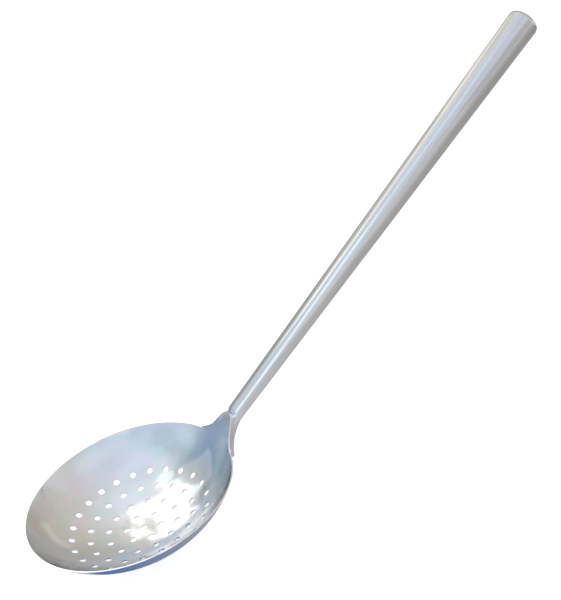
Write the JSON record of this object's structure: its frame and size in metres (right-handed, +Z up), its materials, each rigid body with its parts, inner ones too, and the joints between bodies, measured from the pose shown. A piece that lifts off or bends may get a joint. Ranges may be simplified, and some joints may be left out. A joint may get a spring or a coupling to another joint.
{
  "type": "perforated skimmer",
  "caption": "Round shallow perforated skimmer bowl on a long hollow tapered steel handle with a closed round end.",
  "frame": {"origin": "centre of the flat underside of the bowl", "axes": "+Z up through the bowl's mouth, +X level, towards the handle"},
  "size_m": [0.5211, 0.1624, 0.2506],
  "materials": {
    "bowl_steel": "satin",
    "handle_steel": "satin, brushed lengthwise",
    "weld_steel": "ground smooth"
  },
  "bodies": {
    "root": {"bowl": "bowl_steel", "neck_saddle": "handle_steel", "handle_tube": "handle_steel", "end_cap": "handle_steel", "ear_weld": "weld_steel", "neck_weld": "weld_steel", "cap_weld": "weld_steel", "seam_weld": "weld_steel"}
  },
  "joints": []
}
